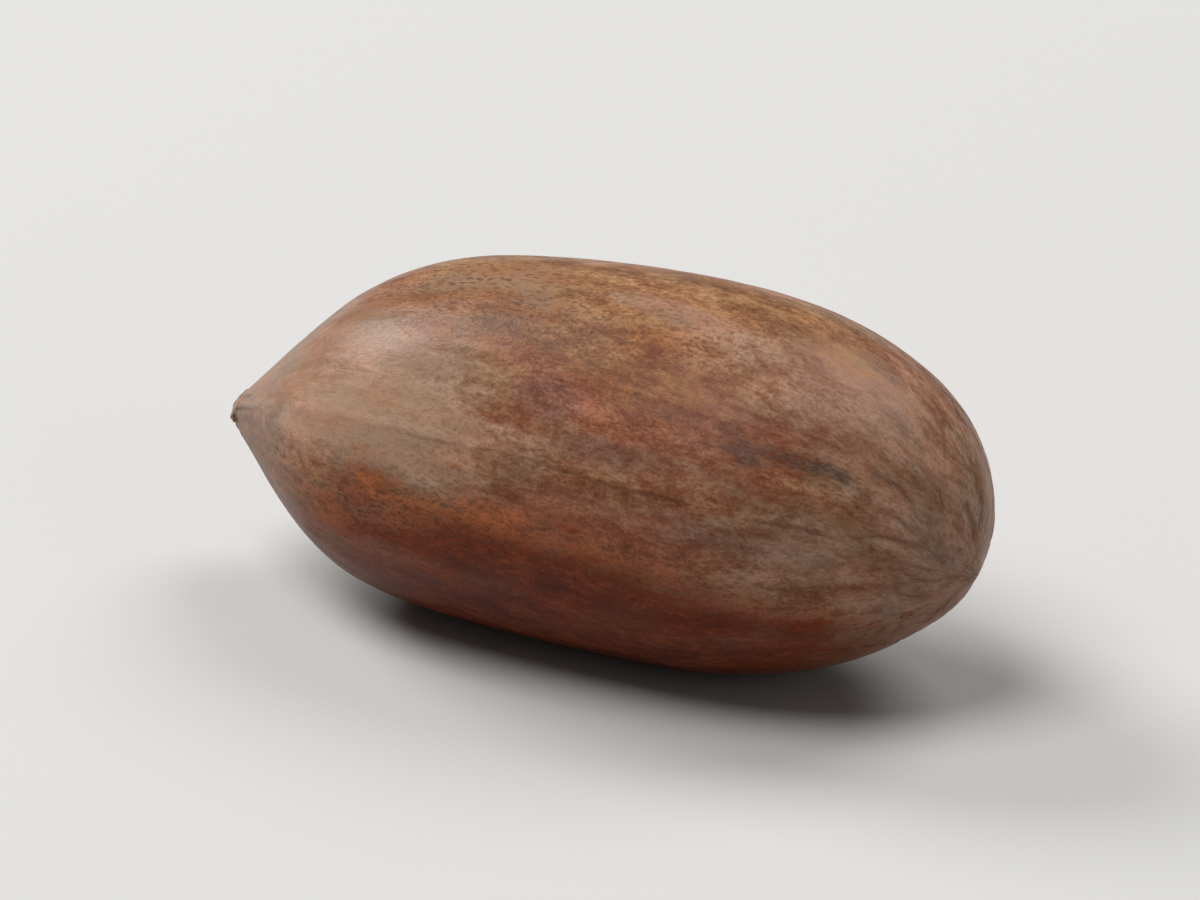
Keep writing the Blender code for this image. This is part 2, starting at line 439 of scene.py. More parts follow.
class ShellForm(bpy.types.PropertyGroup):
    """The sizes of the shell."""

    length: FloatProperty(
        name="Length", description="From the tip to the stalk end", default=0.0450, unit="LENGTH"
    )
    width: FloatProperty(
        name="Width", description="Mean width where it is widest", default=0.0207, unit="LENGTH"
    )
    broader_sideways: FloatProperty(
        name="Broader sideways", description="Sideways stretch, undone upwards", default=1.03
    )
    widest_station: FloatProperty(
        name="Widest station",
        description="Where it is widest, from the tip",
        default=0.603,
        subtype="FACTOR",
    )
    front_taper: FloatProperty(
        name="Front taper",
        description="Share of the width lost towards the tip",
        default=0.26,
        subtype="FACTOR",
    )
    base_bluntness: FloatProperty(
        name="Bluntness", description="How blunt the stalk end is, 2 being an ellipse", default=2.2
    )
    apex_slope: FloatProperty(
        name="Apex slope", description="Rise of the cone at the tip for each metre along", default=0.895
    )
    shoulder_sharpness: FloatProperty(
        name="Shoulder sharpness", description="How tightly the cone turns into the body", default=6.0
    )
    bow_rise: FloatProperty(
        name="Bow", description="Rise of the middle of the long axis", default=0.0004, unit="LENGTH"
    )
    tip_droop: FloatProperty(
        name="Tip droop", description="How far the tip hangs down", default=0.00125, unit="LENGTH"
    )
    tip_droop_reach: FloatProperty(
        name="Droop reach",
        description="Stations over which the droop fades",
        default=0.30,
        subtype="FACTOR",
    )
    base_bend: FloatProperty(
        name="Base bend",
        description="How far the stalk end turns down",
        default=math.radians(18),
        subtype="ANGLE",
    )
    bend_station: FloatProperty(
        name="Bend station", description="Where the bend starts", default=0.83, subtype="FACTOR"
    )
    twist: FloatProperty(
        name="Twist",
        description="Turn of the seams from end to end",
        default=math.radians(18),
        subtype="ANGLE",
    )
    tilt: FloatProperty(
        name="Tilt", description="How far the tip lies lower", default=math.radians(2), subtype="ANGLE"
    )
    seam_turn: FloatProperty(
        name="Seam turn",
        description="Where the first seam is, from +Y",
        default=math.radians(160),
        subtype="ANGLE",
    )
    stub_radius: FloatProperty(
        name="Stub radius", description="Radius of the blunt tip", default=0.00050, unit="LENGTH"
    )
    stub_rounding: FloatProperty(
        name="Stub rounding",
        description="Length that the blunt tip rounds over",
        default=0.00030,
        unit="LENGTH",
    )
    button_height: FloatProperty(
        name="Button height",
        description="Height of the button at the stalk end",
        default=0.00035,
        unit="LENGTH",
    )
    button_radius: FloatProperty(
        name="Button radius", description="Radius of the button", default=0.0008, unit="LENGTH"
    )
    seam_height: FloatProperty(
        name="Seam height", description="How far the seams stand up", default=0.00009, unit="LENGTH"
    )
    fold_depth: FloatProperty(
        name="Fold depth", description="Depth of the folds at the stalk end", default=0.00022, unit="LENGTH"
    )
    flat_depth: FloatProperty(
        name="Flat depth",
        description="How far the resting spot is pressed in",
        default=0.00012,
        unit="LENGTH",
    )
    points_around: IntProperty(name="Points around", description="Points in each ring", default=384)
    rings_along: IntProperty(name="Rings", description="Rings from end to end", default=248)


class ShellFinish(bpy.types.PropertyGroup):
    """The colours and the surface of the shell."""

    crust: FloatVectorProperty(
        name="Crust",
        description="Tan crust over the red ground",
        subtype="COLOR",
        default=(0.208, 0.097, 0.047),
    )
    pale: FloatVectorProperty(
        name="Pale", description="The light tip", subtype="COLOR", default=(0.240, 0.134, 0.083)
    )
    cream: FloatVectorProperty(
        name="Cream",
        description="The lightest part of the tip",
        subtype="COLOR",
        default=(0.330, 0.193, 0.125),
    )
    ochre: FloatVectorProperty(
        name="Ochre", description="Olive-tan streaks", subtype="COLOR", default=(0.225, 0.108, 0.046)
    )
    rust: FloatVectorProperty(
        name="Rust", description="Orange-brown mottles", subtype="COLOR", default=(0.178, 0.070, 0.026)
    )
    ember: FloatVectorProperty(
        name="Ember",
        description="Bright red-brown mottles",
        subtype="COLOR",
        default=(0.262, 0.076, 0.028),
    )
    red: FloatVectorProperty(
        name="Red", description="Red-brown patches", subtype="COLOR", default=(0.228, 0.084, 0.045)
    )
    plum: FloatVectorProperty(
        name="Plum", description="Purple-grey bands", subtype="COLOR", default=(0.170, 0.075, 0.051)
    )
    smudge: FloatVectorProperty(
        name="Smudge", description="The dark smudge", subtype="COLOR", default=(0.060, 0.032, 0.024)
    )
    ash: FloatVectorProperty(
        name="Ash", description="Grey-tan at the stalk end", subtype="COLOR", default=(0.258, 0.142, 0.092)
    )
    # The deep red is both the shell's darkest red-brown and the colour of the painted shade on its lower
    # flank and underside.
    deep: FloatVectorProperty(
        name="Deep red", description="The darkest red-brown", subtype="COLOR", default=(0.122, 0.023, 0.007)
    )
    # The dark colour of the specks and dashes, also used for the painted shade in the creases.
    speck_and_shade: FloatVectorProperty(
        name="Specks", description="Dark specks and dashes", subtype="COLOR", default=(0.070, 0.027, 0.011)
    )
    # Dark pits of the worn tip and button, partly painted shade in the scar's hollows.
    pit_shade: FloatVectorProperty(
        name="Pits",
        description="Dark pits of the worn tip and button",
        subtype="COLOR",
        default=(0.035, 0.021, 0.014),
    )
    # Pale flecks, also used as the painted highlight on the ridges and on the high lumps of the scar.
    fleck_and_highlight: FloatVectorProperty(
        name="Flecks", description="Pale flecks there", subtype="COLOR", default=(0.280, 0.200, 0.148)
    )
    gloss: FloatProperty(
        name="Gloss", description="Specular level of the shell", default=0.10, subtype="FACTOR"
    )
    roughness: FloatProperty(
        name="Roughness", description="Mean roughness", default=0.36, subtype="FACTOR"
    )
    grain_height: FloatProperty(
        name="Grain height", description="Height of the finest grain", default=0.00004, unit="LENGTH"
    )


class StudioStage(bpy.types.PropertyGroup):
    """The floor, the lights and the camera."""

    floor: FloatVectorProperty(
        name="Floor", description="Floor colour", subtype="COLOR", default=(0.47, 0.465, 0.455)
    )
    floor_size: FloatProperty(
        name="Floor size", description="Side of the floor", default=6.0, unit="LENGTH"
    )
    sky: FloatProperty(name="Sky", description="Strength of the white surroundings", default=0.11)
    key_power: FloatProperty(
        name="Key", description="Power of the left light", default=17.8, unit="POWER"
    )
    rim_power: FloatProperty(
        name="Rim", description="Power of the back light", default=12.0, unit="POWER"
    )
    top_power: FloatProperty(
        name="Top", description="Power of the light above", default=18.0, unit="POWER"
    )
    fill_power: FloatProperty(
        name="Fill", description="Power of the weak light on the right", default=2.3, unit="POWER"
    )
    azimuth: FloatProperty(
        name="Azimuth",
        description="Camera's way round the nut",
        default=math.radians(31.4),
        subtype="ANGLE",
    )
    elevation: FloatProperty(
        name="Elevation",
        description="Camera's height above the floor",
        default=math.radians(22),
        subtype="ANGLE",
    )
    distance: FloatProperty(
        name="Distance", description="Camera's distance", default=0.62, unit="LENGTH"
    )
    lens: FloatProperty(
        name="Lens", description="Focal length", default=360.0, unit="CAMERA"
    )


def turn_between(turn, other):
    """The angle from one turn to another, from 0 to 180 degrees."""
    return np.abs((turn - other + 180) % 360 - 180)


def bell(off, reach, power=2):
    """One in the middle and 1/e at its reach. A higher power makes it flatter on top and steeper."""
    return np.exp(-((off / reach) ** power))


def crest(apart, width):
    """A crest that falls off on both sides of its line, with a slightly rounded top."""
    return np.exp(-(np.sqrt(apart**2 + KEEL_CREST**2) - KEEL_CREST) / width)


def smooth_noise(share, turn, cells_along, cells_around, seed):
    """Random heights from -1 to 1 on a grid that closes round the nut, joined by smooth steps.

    The place along the nut is a share from 0 to 1, of its stations or of the way over the shell.
    """
    heights = np.random.default_rng(seed).uniform(-1, 1, (cells_along + 2, cells_around))
    along = share * cells_along
    around = (turn % 360) / 360 * cells_around
    row = np.floor(along).astype(int)
    column = np.floor(around).astype(int)
    down = (along - row) ** 2 * (3 - 2 * (along - row))
    across = (around - column) ** 2 * (3 - 2 * (around - column))
    near, far = column % cells_around, (column + 1) % cells_around
    first = heights[row, near] * (1 - across) + heights[row, far] * across
    second = heights[row + 1, near] * (1 - across) + heights[row + 1, far] * across
    return first * (1 - down) + second * down


def half_width(station, form):
    """The mean radius: a body that tapers forward and rounds off behind, and a cone with a blunt tip.

    The body is a share of the half width that falls as a square towards the tip and as a superellipse
    towards the stalk end. It is joined to the cone by a power mean, which takes the smaller of the two, and
    the tip is rounded off as a quarter ellipse.
    """
    behind = np.clip((station - form.widest_station) / (1 - form.widest_station), 0, 1)
    ahead = np.clip((form.widest_station - station) / form.widest_station, 0, 1)
    rounded = np.sqrt(1 - behind**form.base_bluntness)
    tapered = 1 - form.front_taper * ahead**2
    body = form.width / 2 * np.where(station > form.widest_station, rounded, tapered)
    from_tip = station * form.length
    cone = form.stub_radius + form.apex_slope * from_tip
    power = form.shoulder_sharpness
    nut = (cone**-power + np.maximum(body, TINY) ** -power) ** (-1 / power)
    to_rounding = np.clip(1 - from_tip / form.stub_rounding, 0, 1)
    return np.where((station > 0) & (station < 1), nut * np.sqrt(1 - to_rounding**2), 0)


def way_along(station, form):
    """The way over the shell from the tip, in metres: short straight steps along its profile, added up."""
    steps = (1 - np.cos(np.linspace(0, math.pi, PROFILE_STEPS))) / 2
    lengths = np.hypot(np.diff(steps) * form.length, np.diff(half_width(steps, form)))
    return np.interp(station, steps, np.concatenate([[0.0], np.cumsum(lengths)]))


def keel_share(station, turn, form):
    """The keels near the tip, as a share of the radius. The flanks between them are a little hollow."""
    near_tip = bell(station, KEEL_REACH) * (1 - np.exp(-station * form.length / form.stub_radius))
    share = -FLANK_HOLLOW * max(height for _, height in KEELS) * np.ones_like(station)
    for keel_turn, height in KEELS:
        share = share + height * crest(turn_between(turn, keel_turn), KEEL_WIDTH)
    return share * near_tip


def seam_relief(station, turn, form):
    """The two seams as fine raised lines, which are faintest half way along."""
    strength = SEAM_FAINTEST + (1 - SEAM_FAINTEST) * np.abs(2 * station - 1) ** SEAM_FADE
    crests = sum(crest(turn_between(turn, seam), SEAM_WIDTH) for seam in SEAM_TURNS)
    return form.seam_height * strength * crests


def fold_relief(station, turn, form):
    """Shallow creases that run in to the stalk end, unevenly spaced and of uneven depth."""
    depth = np.zeros_like(station)
    for number in range(FOLD_COUNT):
        fold_turn = 360 * (number + 0.5) / FOLD_COUNT + FOLD_STRAY * math.sin(FOLD_STRAY_STEP * number)
        share = 1 - FOLD_DEPTH_SPREAD * (1 - math.cos(FOLD_DEPTH_STEP * number))
        depth = depth + share * crest(turn_between(turn, fold_turn), FOLD_WIDTH)
    return -form.fold_depth * depth * np.exp(-(1 - station) / FOLD_REACH)


def wave_relief(station, turn):
    """Slow swells: a few sines round the nut, each with its own drift along it."""
    swell = np.zeros_like(station)
    for count, drift, start, height in WAVES:
        swell = swell + height * np.sin(count * np.radians(turn) + drift * 2 * math.pi * station + start)
    return swell


def fine_relief(station, turn, form):
    """Ripples drawn out along the nut, and wrinkles that gather at the stalk end, in smooth noise."""
    way = way_along(station, form) / way_along(1.0, form)
    height = np.zeros_like(station)
    for along, around, seed, size in RIPPLES:
        height = height + size * smooth_noise(way, turn, along, around, seed)
    gather = np.exp(-(1 - station) / WRINKLE_REACH)
    for along, around, seed, size in WRINKLES:
        height = height - size * gather * (1 - np.abs(smooth_noise(way, turn, along, around, seed)))
    return height


def scar_lumps(station, turn):
    """The lumps of the scar on the tip, as layers of smooth noise."""
    height = np.zeros_like(station)
    for along, around, seed, size in SCAR_LUMPS:
        height = height + size * smooth_noise(station, turn, along, around, seed)
    return height


def scar_share(station, form):
    """How much of the scar there is: all of it by the tip, fading out at its reach along the nut."""
    return bell(station * form.length, SCAR_REACH, SCAR_POWER)


def scar_relief(station, turn, form):
    """The lumps of the scar, which shrink to nothing at the very tip."""
    off_tip = np.clip(station * form.length / form.stub_rounding, 0, 1)
    return scar_lumps(station, turn) * scar_share(station, form) * off_tip


def creases():
    """The creases that are listed, and seeded ones on the stalk end's other sides."""
    draw = np.random.default_rng(CREASE_SEED)
    start = draw.uniform(*CREASE_STATIONS, SEEDED_CREASES)
    turn = draw.uniform(*CREASE_TURNS, SEEDED_CREASES)
    end = np.minimum(start + draw.uniform(*CREASE_LENGTHS, SEEDED_CREASES), CREASE_LAST_STATION)
    end_turn = turn + draw.normal(0, CREASE_SLANT, SEEDED_CREASES)
    return [*CREASES, *(((a, b), (c, d)) for a, b, c, d in zip(start, turn, end, end_turn))]


def line_share(station, turn, lines, form):
    """How near each point is to any of the lines, from 0 to 1: a bell across the line, thin at its ends."""
    places, _ = smooth_shell(station, turn, form)
    share = np.zeros_like(station)
    near_ends = np.abs(station - 0.5) > 0.5 - LINE_REACH
    for line in lines:
        knots = np.array(line)
        numbers = np.arange(len(knots))
        steps = np.linspace(0, numbers[-1], LINE_STEPS * numbers[-1] + 1)
        run_station, run_turn = (np.interp(steps, numbers, column) for column in knots.T)
        line_places, _ = smooth_shell(run_station, run_turn, form)
        run = line_places[1:] - line_places[:-1]
        off = places[near_ends, None, :] - line_places[None, :-1]
        along = np.clip((off * run).sum(-1) / (run * run).sum(-1), 0, 1)
        gap = np.linalg.norm(off - along[..., None] * run, axis=-1)
        thin = np.sin(math.pi * (np.arange(len(run)) + along) / len(run)) ** LINE_THINNING
        nearest = (bell(gap, LINE_WIDTH) * thin).max(axis=1)
        share[near_ends] = np.maximum(share[near_ends], nearest)
    return share


def bend_down(station, along, upward, form):
    """Turns the stalk end down about the start of the bend, by an angle that grows towards the end."""
    past_start = np.clip((station - form.bend_station) / (1 - form.bend_station), 0, 1)
    bend = form.base_bend * past_start**2
    pivot = (form.bend_station - 0.5) * form.length
    ahead = along - pivot
    bent_along = pivot + ahead * np.cos(bend) + upward * np.sin(bend)
    bent_upward = upward * np.cos(bend) - ahead * np.sin(bend)
    return bent_along, bent_upward


def laid_round(station, turn, radius, form):
    """Lays points at a radius round the bowed, bent and tilted axis, in an oval wider than it is high."""
    angle = form.seam_turn + np.radians(turn) + form.twist * (station - 0.5)
    at_back = station > form.widest_station
    button = form.button_height * bell(radius, form.button_radius) * at_back
    along = (station - 0.5) * form.length + button
    sideways = radius * np.cos(angle) * form.broader_sideways
    rise = form.bow_rise * np.sin(math.pi * station)
    rise = rise - form.tip_droop * np.exp(-station / form.tip_droop_reach)
    upward = radius * np.sin(angle) / form.broader_sideways + rise
    along, upward = bend_down(station, along, upward, form)
    tilted_along = along * math.cos(form.tilt) - upward * math.sin(form.tilt)
    tilted_upward = along * math.sin(form.tilt) + upward * math.cos(form.tilt)
    return np.stack([tilted_along, sideways, tilted_upward], axis=-1)


def smooth_shell(station, turn, form):
    """Places on the shell and their radius: the half width with the keels, seams, folds and waves on it."""
    radius = half_width(station, form)
    calm = 1 - bell(radius, CALM_RADIUS)
    relief = seam_relief(station, turn, form) + fold_relief(station, turn, form)
    relief = relief + wave_relief(station, turn)
    radius = radius * (1 + keel_share(station, turn, form)) + relief * calm
    return laid_round(station, turn, radius, form), radius


def shell_points(station, turn, creased, ridged, form):
    """Places on the finished shell: the smooth one with fine relief, the scar, creases and ridges on it."""
    _, radius = smooth_shell(station, turn, form)
    calm = 1 - bell(radius, CALM_RADIUS)
    radius = radius + fine_relief(station, turn, form) * calm + scar_relief(station, turn, form)
    lines = RIDGE_HEIGHT * ridged - CREASE_DEPTH * creased
    radius = radius + lines * np.clip(radius / CALM_RADIUS, 0, 1)
    return laid_round(station, turn, radius, form), radius


def set_down(points, form):
    """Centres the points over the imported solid's middle, on its lowest level, and presses the flat spot."""
    low, high = points.min(axis=0), points.max(axis=0)
    solid_low, solid_high = (np.array(corner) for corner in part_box(NODE))
    middle = (low + high) / 2
    solid_middle = (solid_low + solid_high) / 2
    placed = points - middle + solid_middle
    placed[:, 2] = points[:, 2] - low[2] - form.flat_depth + solid_low[2]
    placed[:, 2] = np.maximum(placed[:, 2], solid_low[2])
    return placed


def grid_places(form):
    """Stations and turns of every point: the tip, the rings one after another, then the stalk end.

    The rings lie closer together towards both ends.
    """
    even = np.linspace(0, 1, form.rings_along + 1)
    stations = even - RING_GATHERING * np.sin(2 * math.pi * even) / (2 * math.pi)
    turns = np.arange(form.points_around) * 360 / form.points_around
    rings, around = np.meshgrid(stations[1:-1], turns, indexing="ij")
    station = np.concatenate([[0.0], rings.ravel(), [1.0]])
    turn = np.concatenate([[0.0], around.ravel(), [0.0]])
    return station, turn


def grid_faces(form):
    """Corner numbers of the four-sided faces between rings, and of the three-sided ones at the two ends."""
    around = form.points_around
    rings = form.rings_along - 1
    number = 1 + np.arange(rings * around).reshape(rings, around)
    beside = np.roll(number, -1, axis=1)
    quads = np.stack([number[:-1], beside[:-1], beside[1:], number[1:]], axis=-1).reshape(-1, 4)
    tip = np.zeros(around, int)
    end = np.full(around, 1 + rings * around)
    tip_faces = np.stack([tip, beside[0], number[0]], axis=-1)
    end_faces = np.stack([end, number[-1], beside[-1]], axis=-1)
    return quads, np.concatenate([tip_faces, end_faces])


def mesh_from(name, points, quads, triangles):
    """Puts whole arrays of points and faces into a new smooth mesh."""
    mesh = bpy.data.meshes.new(name)
    corners = np.concatenate([quads.ravel(), triangles.ravel()])
    sizes = np.concatenate([np.full(len(quads), 4), np.full(len(triangles), 3)])
    starts = np.concatenate([[0], np.cumsum(sizes)[:-1]])
    mesh.vertices.add(len(points))
    mesh.vertices.foreach_set("co", points.astype(np.float32).ravel())
    mesh.loops.add(len(corners))
    mesh.loops.foreach_set("vertex_index", corners.astype(np.int32))
    mesh.polygons.add(len(sizes))
    mesh.polygons.foreach_set("loop_start", starts.astype(np.int32))
    mesh.update(calc_edges=True)
    mesh.validate()
    mesh.shade_smooth()
    return mesh


def patch_share(station, turn, patches):
    """How much of a coat shows: the strongest of its soft oval patches, each a bell in station and turn."""
    share = np.zeros_like(station)
    for at_station, at_turn, half_length, half_turn, strength in patches:
        off = ((station - at_station) / half_length) ** 2 + (turn_between(turn, at_turn) / half_turn) ** 2
        share = np.maximum(share, strength * np.exp(-off / PATCH_SPREAD))
    return share


def coat_shares(station, turn):
    """The share of each coat at every point: its patches, and smooth noise on the side that has none."""
    hidden = 1 - bell(turn_between(turn, SEEN_TURN), SEEN_REACH, SEEN_POWER)
    shares = {}
    for coat, patches in PATCHES.items():
        cells_along, cells_around, seed, height, mean = CLOUDS[coat]
        cloud = mean + height * smooth_noise(station, turn, cells_along, cells_around, seed)
        if coat in END_COATS:
            end, reach = END_COATS[coat]
            cloud = np.maximum(cloud, END_SHARE * bell(station - end, reach))
        shares[coat] = np.clip(patch_share(station, turn, patches) + hidden * cloud, 0, MOST_SHARE)
    return shares


def mark_shares(station, turn, radius, coats, form):
    """Where the finer marks show: the scar, the button, the seam lines and the calm grain."""
    button = bell(radius, form.button_radius, BUTTON_POWER) * (station > form.widest_station)
    full = bell(station - SEAM_LINE_STATION, SEAM_LINE_REACH, SEAM_LINE_POWER)
    near_seam = SEAM_LINE_LEAST + (1 - SEAM_LINE_LEAST) * full
    far_side = turn_between(turn, SEAM_TURNS[0]) > 90
    return {
        "scar": scar_share(station, form),
        "scar_lumps": scar_lumps(station, turn) / sum(size for *_, size in SCAR_LUMPS),
        "button": button,
        "seam_line": np.where(far_side, SEAM_LINE_FAR, near_seam),
        "calm": np.clip(np.maximum(coats["pale"], CALM_ASH * coats["ash"]), 0, 1),
    }


def grain_places(station, turn, radius, form):
    """Places for patterns that follow the shell: round it by turn on a drum, along it by the way over it.

    The drum's radius is the geometric mean of the nut's own and the widest, so that streaks draw together
    at the ends but don't shrink to nothing there.
    """
    widest = form.width / 2
    drum = np.sqrt(np.maximum(radius, DRUM_LEAST * widest) * widest)
    angle = np.radians(turn)
    return np.stack([drum * np.cos(angle), drum * np.sin(angle), way_along(station, form)], axis=-1)


def add_attribute(mesh, name, kind, key, values):
    """Keeps one value or vector for each point in the mesh."""
    attribute = mesh.attributes.new(name, kind, "POINT")
    attribute.data.foreach_set(key, values.astype(np.float32).ravel())


class Wiring:
    """Adds nodes to one material and joins them up."""

    def __init__(self, material):
        material.use_nodes = True
        self.tree = material.node_tree
        self.shader = self.tree.nodes["Principled BSDF"]

    def put(self, kind, inputs, **settings):
        """Adds a node, with its settings, and feeds its inputs."""
        made = self.tree.nodes.new(kind)
        for name, value in settings.items():
            setattr(made, name, value)
        for key, value in inputs.items():
            self.feed(made.inputs[key], value)
        return made

    def feed(self, socket, value):
        """Joins an output to a socket, or sets the socket to a plain value."""
        if isinstance(value, bpy.types.NodeSocket):
            self.tree.links.new(value, socket)
        else:
            socket.default_value = value

    def number(self, name):
        """A value that the mesh keeps for each point."""
        return self.put("ShaderNodeAttribute", {}, attribute_name=name).outputs["Fac"]

    def places(self, name):
        """A vector that the mesh keeps for each point."""
        return self.put("ShaderNodeAttribute", {}, attribute_name=name).outputs["Vector"]

    def stretched(self, places, scale, shift):
        """Places times a scale, then moved by a shift."""
        inputs = {"Vector": places, "Scale": scale, "Location": shift}
        return self.put("ShaderNodeMapping", inputs).outputs["Vector"]

    def noise(self, places, scale, detail, roughness, distortion=0.0):
        """Noise from about 0.3 to 0.7, with its middle at 0.5."""
        inputs = {
            "Vector": places,
            "Scale": scale,
            "Detail": detail,
            "Roughness": roughness,
            "Distortion": distortion,
        }
        return self.put("ShaderNodeTexNoise", inputs).outputs["Fac"]

    def band(self, value, low, high, to_low=0.0, to_high=1.0):
        """Rises smoothly from to_low to to_high as value goes from low to high."""
        inputs = {"Value": value, "From Min": low, "From Max": high, "To Min": to_low, "To Max": to_high}
        return self.put("ShaderNodeMapRange", inputs, interpolation_type="SMOOTHSTEP").outputs["Result"]

    def maths(self, operation, *values):
        """One sum of two or three values."""
        return self.put("ShaderNodeMath", dict(enumerate(values)), operation=operation).outputs[0]

    def mix(self, share, first, second, blend="MIX"):
        """The first colour, with a share of the second over it."""
        inputs = {0: share, 6: first, 7: second}
        return self.put("ShaderNodeMix", inputs, data_type="RGBA", blend_type=blend).outputs[2]


def opaque(colour):
    """A colour with nothing see-through about it."""
    return (*colour, 1.0)


def noise_layers(wiring, grain):
    """The layers of noise, each moved aside so that no two are alike."""
    layers = {}
    for number, (name, (stretch, scale, detail, roughness, distortion)) in enumerate(LAYERS.items()):
        aside = [number * step for step in LAYER_SHIFT]
        places = wiring.stretched(grain, (1, 1, stretch), aside)
        layers[name] = wiring.noise(places, scale, detail, roughness, distortion)
    return layers


def torn_by(wiring, layers, sizes):
    """Noise about zero: the sum of layers, each times its size."""
    total = 0.0
    for name, size in sizes.items():
        total = wiring.maths("MULTIPLY_ADD", wiring.maths("SUBTRACT", layers[name], 0.5), size, total)
    return total


def coloured_coats(wiring, layers, finish):
    """The red ground with the coats over it, each where its share, torn by noise, is high enough."""
    colour = opaque(finish.red)
    for coat, (sizes, softness, cover) in COATS.items():
        share = wiring.number(coat)
        tear = wiring.band(share, *TEAR_BAND)
        torn = wiring.maths("MULTIPLY", torn_by(wiring, layers, sizes), tear)
        share = wiring.maths("ADD", share, torn)
        share = wiring.band(share, 0.5 - softness, 0.5 + softness, 0.0, cover)
        colour = wiring.mix(share, colour, opaque(getattr(finish, coat)))
    return colour


def toned(wiring, layers, colour):
    """Lighter and darker, and warmer and cooler, by the layers of noise, and less where the grain is calm.

    What is darker is browner too, because green and blue fall off more steeply than red.
    """
    light = 1.0
    for name, size in TONES.items():
        step = wiring.band(layers[name], *TONE_BAND, 1 - size, 1 + size)
        light = wiring.maths("MULTIPLY", light, step)
    strength = wiring.maths("MULTIPLY_ADD", wiring.number("calm"), -CALM_LOSS, 1.0)
    light = wiring.maths("POWER", light, strength)
    channels = {number: wiring.maths("POWER", light, power) for number, power in enumerate(TONE_POWERS)}
    tone = wiring.put("ShaderNodeCombineColor", channels).outputs[0]
    colour = wiring.mix(1.0, colour, tone, "MULTIPLY")
    warmth = wiring.mix(wiring.band(layers["tint"], *TINT_BAND), WARM, COOL)
    return wiring.mix(1.0, colour, warmth, "MULTIPLY")


def darkened(wiring, colour, finish, first, second):
    """Puts the specks' dark colour, which is also the painted shade in the creases, over a colour, by the
    product of two shares.
    """
    return wiring.mix(wiring.maths("MULTIPLY", first, second), colour, opaque(finish.speck_and_shade))


def hairline_share(wiring, layers):
    """A hairline runs where a long drawn noise crosses its middle, and shows where a cloud is high."""
    off_hair = wiring.maths("ABSOLUTE", wiring.maths("SUBTRACT", layers["hair"], 0.5))
    clouded = wiring.band(layers["cloud"], *HAIR_CLOUD_BAND)
    return wiring.maths("MULTIPLY", wiring.band(off_hair, *HAIR_BAND), clouded)


def seam_line_share(wiring, layers, grain):
    """The seams lie where the drum's second coordinate is nought. Their lines wander and break a little."""
    across = wiring.put("ShaderNodeSeparateXYZ", {"Vector": grain}).outputs["Y"]
    wander = wiring.maths("MULTIPLY", wiring.maths("SUBTRACT", layers["cloud"], 0.5), SEAM_WANDER)
    off_line = wiring.maths("ABSOLUTE", wiring.maths("ADD", across, wander))
    breaks = wiring.band(layers["streak"], *SEAM_BREAK_BAND)
    return wiring.maths("MULTIPLY", wiring.band(off_line, *SEAM_LINE_BAND), breaks)


def marked(wiring, layers, colour, grain, finish):
    """Dark specks, hairlines along the nut, the seams' lines, painted shade in the creases and painted
    highlight on the ridges.
    """
    specks = wiring.band(layers["dash"], *SPECK_BAND)
    colour = darkened(wiring, colour, finish, specks, wiring.number("specks"))
    let_through = wiring.band(layers["mottle"], *HAIR_MOTTLE_BAND)
    colour = darkened(wiring, colour, finish, hairline_share(wiring, layers), let_through)
    seam_line = seam_line_share(wiring, layers, grain)
    colour = darkened(wiring, colour, finish, seam_line, wiring.number("seam_line"))
    # Painted shade in the creases, and a painted highlight along the ridges.
    crease_shade = wiring.band(layers["mottle"], *CREASE_SHADE_BAND)
    colour = darkened(wiring, colour, finish, crease_shade, wiring.number("creases"))
    ridge_highlight = wiring.maths("MULTIPLY", wiring.band(layers["mottle"], *RIDGE_HIGHLIGHT_BAND), wiring.number("ridges"))
    return wiring.mix(ridge_highlight, colour, opaque(finish.fleck_and_highlight))


def worn(wiring, colour, finish):
    """The scar on the tip and the button: pale lumps with dark pits, by noise in the object's axes and the
    scar's own lumps. The pits are partly painted shade in the hollows, the pale lumps partly painted
    highlight.
    """
    places = wiring.put("ShaderNodeTexCoord", {}).outputs["Object"]
    lumps = wiring.noise(places, *WORN_NOISE)
    lumps = wiring.maths("MULTIPLY_ADD", wiring.number("scar_lumps"), WORN_LUMPS, lumps)
    rough = wiring.mix(wiring.band(lumps, *WORN_BAND), opaque(finish.pit_shade), opaque(finish.fleck_and_highlight))
    button = wiring.maths("MULTIPLY", wiring.number("button"), WORN_BUTTON)
    bare = wiring.maths("MAXIMUM", wiring.number("scar"), button)
    return wiring.mix(wiring.maths("MULTIPLY", bare, WORN_COVER), colour, rough)


def shell_finish(finish):
    """The shell's finish: coats with torn edges, tones, specks, lines, worn ends and fine grain."""
    material = bpy.data.materials.new("pecan_shell_finish")
    wiring = Wiring(material)
    grain = wiring.places("grain")
    layers = noise_layers(wiring, grain)
    colour = coloured_coats(wiring, layers, finish)
    colour = toned(wiring, layers, colour)
    colour = marked(wiring, layers, colour, grain, finish)
    wiring.feed(wiring.shader.inputs["Base Color"], worn(wiring, colour, finish))
    below, above = ROUGH_SPREAD
    rough = wiring.band(layers["grit"], *ROUGH_BAND, finish.roughness - below, finish.roughness + above)
    wiring.feed(wiring.shader.inputs["Roughness"], rough)
    height = torn_by(wiring, layers, GRAIN)
    inputs = {"Strength": BUMP_STRENGTH, "Distance": finish.grain_height, "Height": height}
    bump = wiring.put("ShaderNodeBump", inputs)
    wiring.feed(wiring.shader.inputs["Normal"], bump.outputs["Normal"])
    wiring.shader.inputs["Specular IOR Level"].default_value = finish.gloss
    return material


def object_in_scene(name, data):
    """A new object, linked to the scene, unturned and at the origin."""
    made = bpy.data.objects.new(name, data)
    bpy.context.scene.collection.objects.link(made)
    return made


